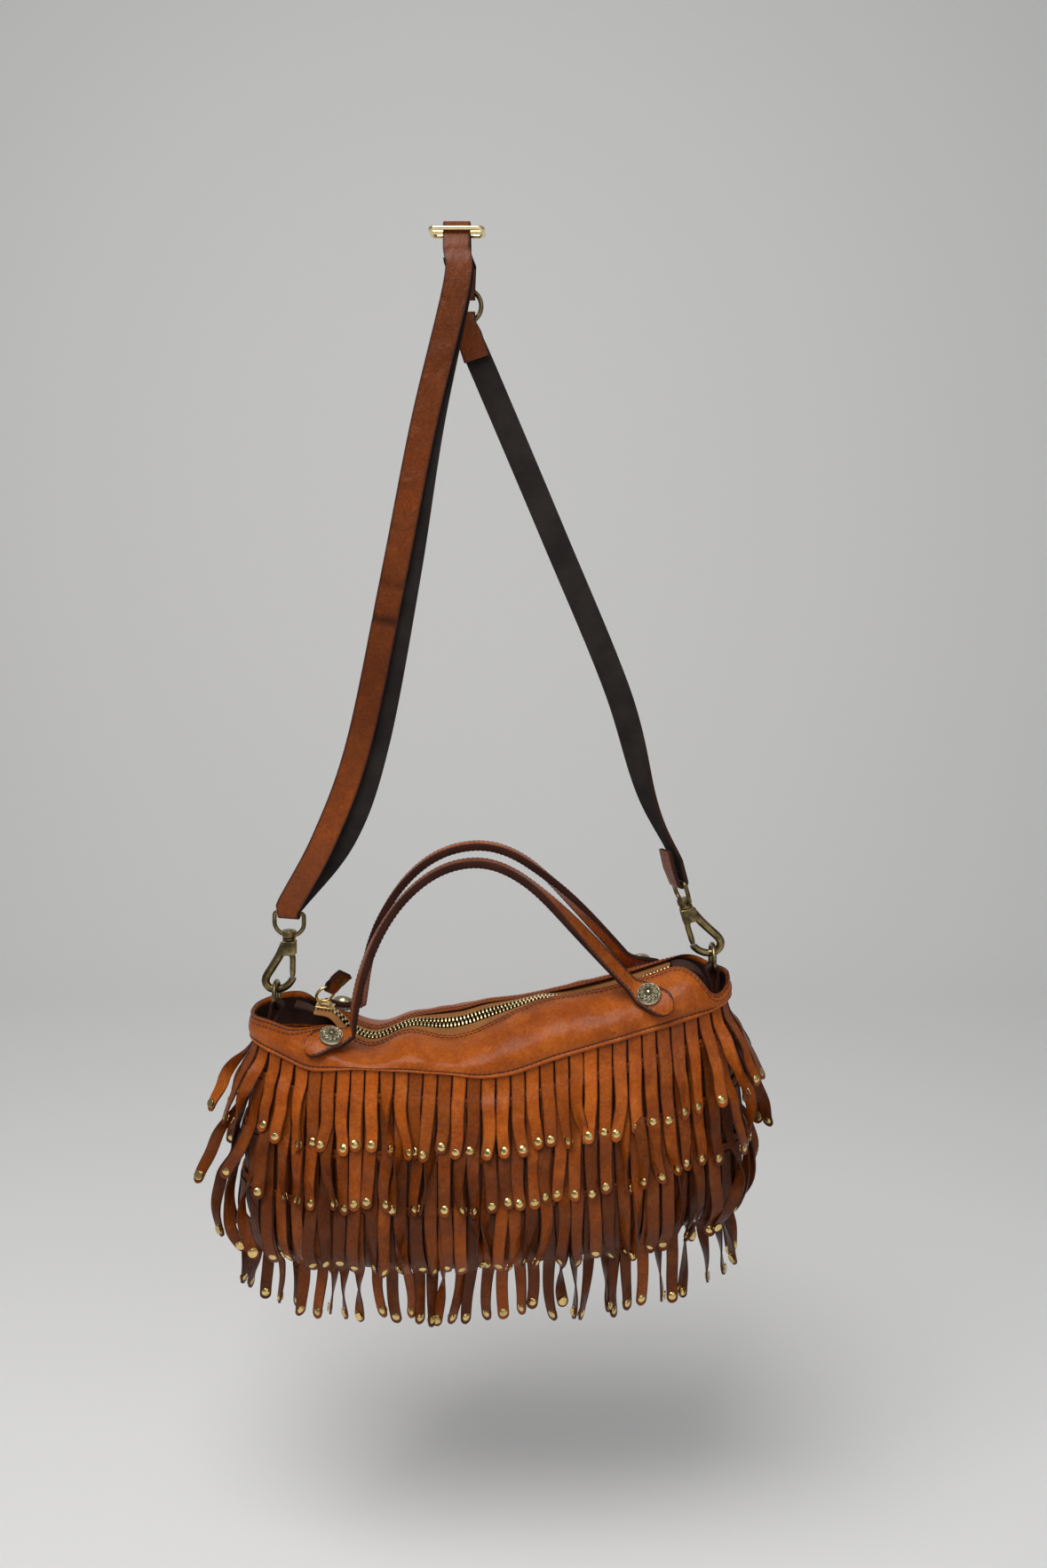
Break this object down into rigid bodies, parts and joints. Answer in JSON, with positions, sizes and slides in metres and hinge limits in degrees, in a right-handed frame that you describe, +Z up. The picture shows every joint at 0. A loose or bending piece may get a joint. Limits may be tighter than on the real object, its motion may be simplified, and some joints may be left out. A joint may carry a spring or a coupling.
{
  "type": "fringed shoulder bag",
  "caption": "Fringed leather bag with studded fringe tiers, two handles, ornamental studs and an adjustable shoulder strap on snap hooks, hanging by its strap.",
  "frame": {"origin": "the point on which the strap hangs, under the middle of the strap's adjuster slide", "axes": "+Z up; +Y to the back, so the front faces -Y; +X to the viewer's right"},
  "size_m": [0.3652, 0.1219, 0.652],
  "materials": {
    "tan_leather": "waxed",
    "antique_brass": "antique",
    "bright_brass": "polished",
    "zip_tape": "woven",
    "concho_metal": "oxidised"
  },
  "bodies": {
    "bag": {"bag_body": "tan_leather", "fringe_tier1_front": "tan_leather", "fringe_tier1_back": "tan_leather", "fringe_tier2_front": "tan_leather", "fringe_tier2_back": "tan_leather", "fringe_tier3_front": "tan_leather", "fringe_tier3_back": "tan_leather", "fringe_tier4_front": "tan_leather", "fringe_tier4_back": "tan_leather", "yoke_front": "tan_leather", "yoke_back": "tan_leather", "zip_teeth_front": "bright_brass", "zip_teeth_back": "bright_brass", "zip_tape_front": "zip_tape", "zip_tape_back": "zip_tape", "zip_end_tab_left": "tan_leather", "zip_end_tab_right": "tan_leather", "handle_front": "tan_leather", "handle_back": "tan_leather", "concho_front_left": "concho_metal", "concho_front_right": "concho_metal", "concho_back_left": "concho_metal", "concho_back_right": "concho_metal", "end_loop_left": "tan_leather", "end_loop_right": "tan_leather", "hook_eye_left": "antique_brass", "hook_eye_right": "antique_brass", "strap_adjuster": "bright_brass", "strap_main": "tan_leather", "strap_short": "tan_leather"},
    "zip_slider": {"zip_slider": "bright_brass"},
    "zip_pull": {"zip_pull_ring": "bright_brass", "zip_pull_tab": "tan_leather", "zip_pull_rivet": "antique_brass"},
    "hook_left_body": {"hook_left": "antique_brass", "hook_pin_left": "antique_brass"},
    "hook_right_body": {"hook_right": "antique_brass", "hook_pin_right": "antique_brass"},
    "gate_left": {"hook_gate_left": "antique_brass"},
    "gate_right": {"hook_gate_right": "antique_brass"},
    "ring_left": {"end_ring_left": "antique_brass"},
    "ring_right": {"end_ring_right": "antique_brass"},
    "strap_ring_body": {"strap_ring": "antique_brass"}
  },
  "joints": [
    {"name": "zip_travel", "type": "hinge", "parent": "bag", "child": "zip_slider", "pos_m": [-0.02857, 0, -0.05441], "axis": [0, -1, 0], "range_deg": [0, 25]},
    {"name": "zip_pull_swing", "type": "hinge", "parent": "zip_slider", "child": "zip_pull", "pos_m": [-0.08818, 0, -0.46585], "axis": [0, 1, 0], "range_deg": [-18, 48]},
    {"name": "hook_left_swivel", "type": "hinge", "parent": "bag", "child": "hook_left_body", "pos_m": [-0.11057, 0, -0.43009], "axis": [0.0349, 0, 0.9994], "range_deg": [-10, 10]},
    {"name": "hook_right_swivel", "type": "hinge", "parent": "bag", "child": "hook_right_body", "pos_m": [0.14301, 0, -0.40866], "axis": [-0.2924, 0, 0.9563], "range_deg": [-10, 10]},
    {"name": "gate_left_spring", "type": "hinge", "parent": "hook_left_body", "child": "gate_left", "pos_m": [-0.10957, 0, -0.43012], "axis": [0, 1, 0], "range_deg": [0, 18], "stiffness_Nm_per_rad": 0.02, "springref_deg": -5.73},
    {"name": "gate_right_spring", "type": "hinge", "parent": "hook_right_body", "child": "gate_right", "pos_m": [0.14206, 0, -0.40895], "axis": [0, -1, 0], "range_deg": [0, 18], "stiffness_Nm_per_rad": 0.02, "springref_deg": -5.73},
    {"name": "end_ring_left_swing", "type": "hinge", "parent": "bag", "child": "ring_left", "pos_m": [-0.1195, 0, -0.46869], "axis": [0, 1, 0], "range_deg": [-6, 6]},
    {"name": "end_ring_right_swing", "type": "hinge", "parent": "bag", "child": "ring_right", "pos_m": [0.1585, 0, -0.44405], "axis": [0, 1, 0], "range_deg": [-6, 2]},
    {"name": "strap_ring_turn", "type": "hinge", "parent": "bag", "child": "strap_ring_body", "pos_m": [0.0035, 0.0125, -0.0375], "axis": [0, 1, 0], "range_deg": [-90, 90]}
  ]
}
